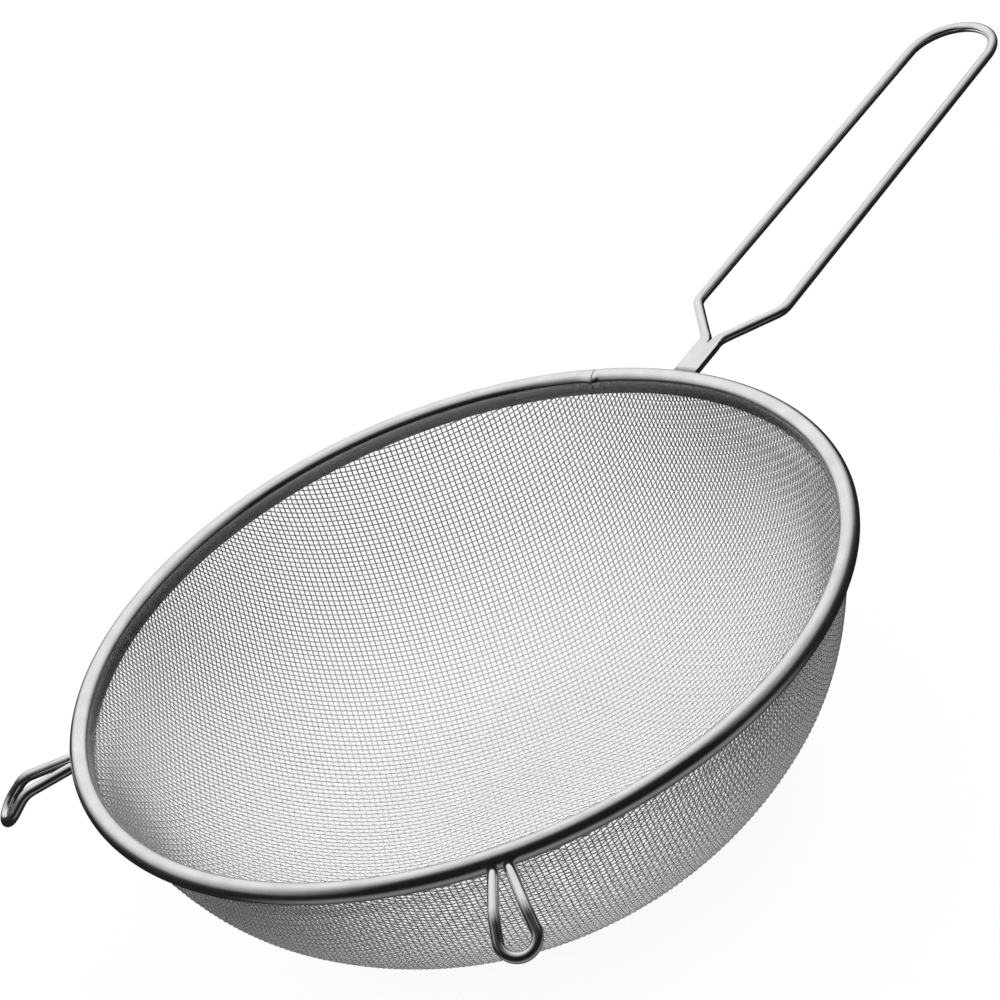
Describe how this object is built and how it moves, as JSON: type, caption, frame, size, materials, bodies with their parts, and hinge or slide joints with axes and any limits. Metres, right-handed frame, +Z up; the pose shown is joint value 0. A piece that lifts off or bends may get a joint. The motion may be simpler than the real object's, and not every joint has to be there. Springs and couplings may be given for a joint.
{
  "type": "wire mesh strainer",
  "caption": "Round wire-mesh strainer: drawn mesh bowl in a rolled rim, with a long wire loop handle and wire rest loops on the far side.",
  "frame": {"origin": "middle of the bowl's flat underside, where it stands", "axes": "+Z up along the bowl's axis, +X towards the handle's far end"},
  "size_m": [0.388, 0.22, 0.0887],
  "materials": {
    "rim_steel": "polished stainless sheet, rolled",
    "core_steel": "drawn wire, hidden in the rim",
    "mesh_steel": "fine drawn wire, woven",
    "wire_steel": "polished stainless wire"
  },
  "bodies": {
    "root": {"rim_band": "rim_steel", "rim_core_wire": "core_steel", "mesh_bowl": "mesh_steel", "handle_wire": "wire_steel", "rest_loop_left": "wire_steel", "rest_loop_right": "wire_steel"}
  },
  "joints": []
}
